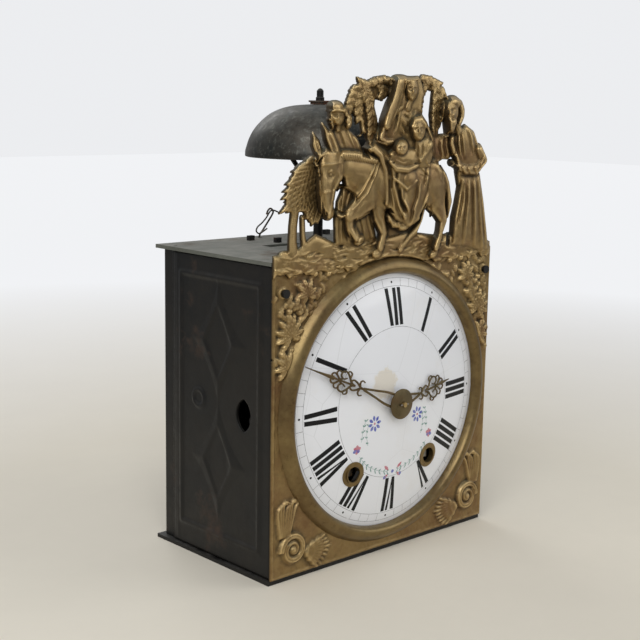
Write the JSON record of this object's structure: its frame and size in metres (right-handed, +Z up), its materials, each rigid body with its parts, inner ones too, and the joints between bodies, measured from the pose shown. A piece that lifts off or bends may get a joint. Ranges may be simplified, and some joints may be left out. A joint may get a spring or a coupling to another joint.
{
  "type": "comtoise clock",
  "caption": "Weight-driven wall clock movement in an iron case, with enamel dial, pressed brass front and relief crest, bell on top, hinged side doors.",
  "frame": {"origin": "centre of the bottom plate's underside", "axes": "+X right as seen from the dial, -Y out of the dial towards the viewer, +Z up"},
  "size_m": [0.2506, 0.1702, 0.3913],
  "materials": {
    "case_iron": "blackened sheet iron with rust bloom",
    "plate_iron": "dusty grey iron",
    "dial_enamel": "white vitreous enamel on copper",
    "pressed_brass": "tarnished pressed brass",
    "hand_brass": "dark antique brass",
    "wheel_brass": "worn clock brass",
    "forged_iron": "dark forged iron",
    "steel": "aged steel",
    "wire_iron": "bent iron wire",
    "bell_bronze": "dark patinated bell metal",
    "washer_iron": "brown iron"
  },
  "bodies": {
    "frame": {"bottom_plate": "case_iron", "top_plate": "plate_iron", "corner_posts": "case_iron", "front_plate": "case_iron", "back_panel": "case_iron", "dial": "dial_enamel", "dial_grommets": "pressed_brass", "dial_surround": "pressed_brass", "surround_screws": "case_iron", "crest": "pressed_brass", "crest_brackets": "plate_iron", "motion_bridge": "wheel_brass", "front_bars": "forged_iron", "rear_bars": "forged_iron", "suspension_cock": "forged_iron", "hammer_cocks": "forged_iron", "hammer_stop": "forged_iron", "bell": "bell_bronze", "bell_post": "forged_iron", "bell_washers": "washer_iron", "bell_nuts": "forged_iron", "rack_guides": "wheel_brass", "lever_stud": "forged_iron", "hub_pin": "steel"},
    "minute_hand_set": {"minute_hand": "hand_brass", "hub_washer": "hand_brass", "cannon_wheel": "wheel_brass"},
    "hour_hand_set": {"hour_hand": "hand_brass", "hour_wheel": "wheel_brass", "hour_snail": "wheel_brass"},
    "minute_wheel_set": {"minute_wheel": "wheel_brass"},
    "going_second_set": {"going_second_wheel": "wheel_brass", "drive_wheel": "wheel_brass"},
    "going_third_set": {"going_third_wheel": "wheel_brass"},
    "escape_set": {"escape_arbor": "steel", "escape_wheel": "wheel_brass"},
    "pallet_set": {"pallet_anchor": "steel", "pallet_arbor": "steel"},
    "going_great_set": {"going_great_wheel": "wheel_brass"},
    "going_click_set": {"going_click": "steel"},
    "going_barrel": {"going_winding_arbor": "steel", "going_drum": "wheel_brass"},
    "strike_great_set": {"strike_great_wheel": "wheel_brass"},
    "strike_click_set": {"strike_click": "steel"},
    "strike_barrel": {"strike_winding_arbor": "steel", "strike_drum": "wheel_brass"},
    "strike_second_set": {"strike_second_wheel": "wheel_brass"},
    "strike_third_set": {"strike_third_wheel": "wheel_brass", "gathering_cam": "wheel_brass"},
    "fly_set": {"fly": "wheel_brass"},
    "hammer_set": {"hammer_arbor": "forged_iron", "hammer_head": "forged_iron"},
    "rack_set": {"rack": "forged_iron"},
    "repeat_lever_set": {"repeat_lever": "forged_iron"},
    "pull_wire_set": {"repeat_wire": "wire_iron", "pull_wires": "wire_iron"},
    "left_door_set": {"left_door": "case_iron"},
    "right_door_set": {"right_door": "case_iron"},
    "left_latch_set": {"left_latch": "forged_iron"},
    "right_latch_set": {"right_latch": "forged_iron"}
  },
  "joints": [
    {"name": "minute_hand_turn", "type": "hinge", "parent": "frame", "child": "minute_hand_set", "pos_m": [0, -0.057, 0.129], "axis": [0, 1, 0], "continuous": true},
    {"name": "hour_hand_turn", "type": "hinge", "parent": "frame", "child": "hour_hand_set", "pos_m": [0, -0.064, 0.129], "axis": [0, 1, 0], "continuous": true},
    {"name": "minute_wheel_turn", "type": "hinge", "parent": "frame", "child": "minute_wheel_set", "pos_m": [-0.026, -0.06, 0.129], "axis": [0, 1, 0], "continuous": true},
    {"name": "going_second_turn", "type": "hinge", "parent": "frame", "child": "going_second_set", "pos_m": [0.044, 0, 0.129], "axis": [0, 1, 0], "continuous": true},
    {"name": "going_third_turn", "type": "hinge", "parent": "frame", "child": "going_third_set", "pos_m": [0.044, 0, 0.163], "axis": [0, 1, 0], "continuous": true},
    {"name": "escape_turn", "type": "hinge", "parent": "frame", "child": "escape_set", "pos_m": [0.044, 0, 0.192], "axis": [0, 1, 0], "continuous": true},
    {"name": "going_great_turn", "type": "hinge", "parent": "frame", "child": "going_great_set", "pos_m": [0.044, 0.0295, 0.076], "axis": [0, 1, 0], "continuous": true},
    {"name": "pallet_rock", "type": "hinge", "parent": "frame", "child": "pallet_set", "pos_m": [0.044, 0, 0.216], "axis": [0, 1, 0], "range_deg": [-3, 3]},
    {"name": "going_winding", "type": "hinge", "parent": "going_great_set", "child": "going_barrel", "pos_m": [0.044, 0, 0.076], "axis": [0, 1, 0], "continuous": true},
    {"name": "going_click_lift", "type": "hinge", "parent": "going_great_set", "child": "going_click_set", "pos_m": [0.05, 0.027, 0.0932], "axis": [0, 1, 0], "range_deg": [0, 12]},
    {"name": "strike_second_turn", "type": "hinge", "parent": "frame", "child": "strike_second_set", "pos_m": [-0.044, 0, 0.129], "axis": [0, 1, 0], "continuous": true},
    {"name": "strike_third_turn", "type": "hinge", "parent": "frame", "child": "strike_third_set", "pos_m": [-0.044, 0, 0.163], "axis": [0, 1, 0], "continuous": true},
    {"name": "fly_turn", "type": "hinge", "parent": "frame", "child": "fly_set", "pos_m": [-0.044, 0, 0.192], "axis": [0, 1, 0], "continuous": true},
    {"name": "strike_great_turn", "type": "hinge", "parent": "frame", "child": "strike_great_set", "pos_m": [-0.044, -0.0295, 0.076], "axis": [0, 1, 0], "continuous": true},
    {"name": "strike_winding", "type": "hinge", "parent": "strike_great_set", "child": "strike_barrel", "pos_m": [-0.044, 0, 0.076], "axis": [0, 1, 0], "continuous": true},
    {"name": "strike_click_lift", "type": "hinge", "parent": "strike_great_set", "child": "strike_click_set", "pos_m": [-0.038, -0.027, 0.0932], "axis": [0, 1, 0], "range_deg": [0, 12]},
    {"name": "hammer_lift", "type": "hinge", "parent": "frame", "child": "hammer_set", "pos_m": [-0.035, 0.008, 0.222], "axis": [0, 1, 0], "range_deg": [0, 7]},
    {"name": "rack_drop", "type": "slide", "parent": "frame", "child": "rack_set", "axis": [0, 0, 1], "range_m": [-0.0192, 0]},
    {"name": "repeat_lever_lift", "type": "hinge", "parent": "frame", "child": "repeat_lever_set", "pos_m": [-0.044, 0.0526, 0.222], "axis": [0, -1, 0], "range_deg": [0, 8]},
    {"name": "pull_wire_rise", "type": "slide", "parent": "frame", "child": "pull_wire_set", "axis": [0, 0, 1], "range_m": [0, 0.003]},
    {"name": "left_door_open", "type": "hinge", "parent": "frame", "child": "left_door_set", "pos_m": [-0.119, 0.0535, 0.126], "axis": [0, 0, 1], "range_deg": [-95, 0]},
    {"name": "right_door_open", "type": "hinge", "parent": "frame", "child": "right_door_set", "pos_m": [0.119, 0.0535, 0.126], "axis": [0, 0, 1], "range_deg": [0, 95]},
    {"name": "left_latch_turn", "type": "hinge", "parent": "left_door_set", "child": "left_latch_set", "pos_m": [-0.1173, -0.052, 0.108], "axis": [1, 0, 0], "range_deg": [0, 35]},
    {"name": "right_latch_turn", "type": "hinge", "parent": "right_door_set", "child": "right_latch_set", "pos_m": [0.1173, -0.052, 0.108], "axis": [1, 0, 0], "range_deg": [0, 35]}
  ],
  "couplings": [
    {"joint": "hour_hand_turn", "follows": "minute_hand_turn", "ratio": 0.083333},
    {"joint": "minute_wheel_turn", "follows": "minute_hand_turn", "ratio": -0.33333},
    {"joint": "going_second_turn", "follows": "minute_hand_turn", "ratio": -1},
    {"joint": "going_third_turn", "follows": "minute_hand_turn", "ratio": 8},
    {"joint": "escape_turn", "follows": "minute_hand_turn", "ratio": -60},
    {"joint": "going_great_turn", "follows": "minute_hand_turn", "ratio": 0.1},
    {"joint": "strike_great_turn", "follows": "strike_second_turn", "ratio": -0.1},
    {"joint": "strike_third_turn", "follows": "strike_second_turn", "ratio": -8},
    {"joint": "fly_turn", "follows": "strike_second_turn", "ratio": 60},
    {"joint": "pull_wire_rise", "follows": "repeat_lever_lift", "m_per_rad": 0.021}
  ]
}
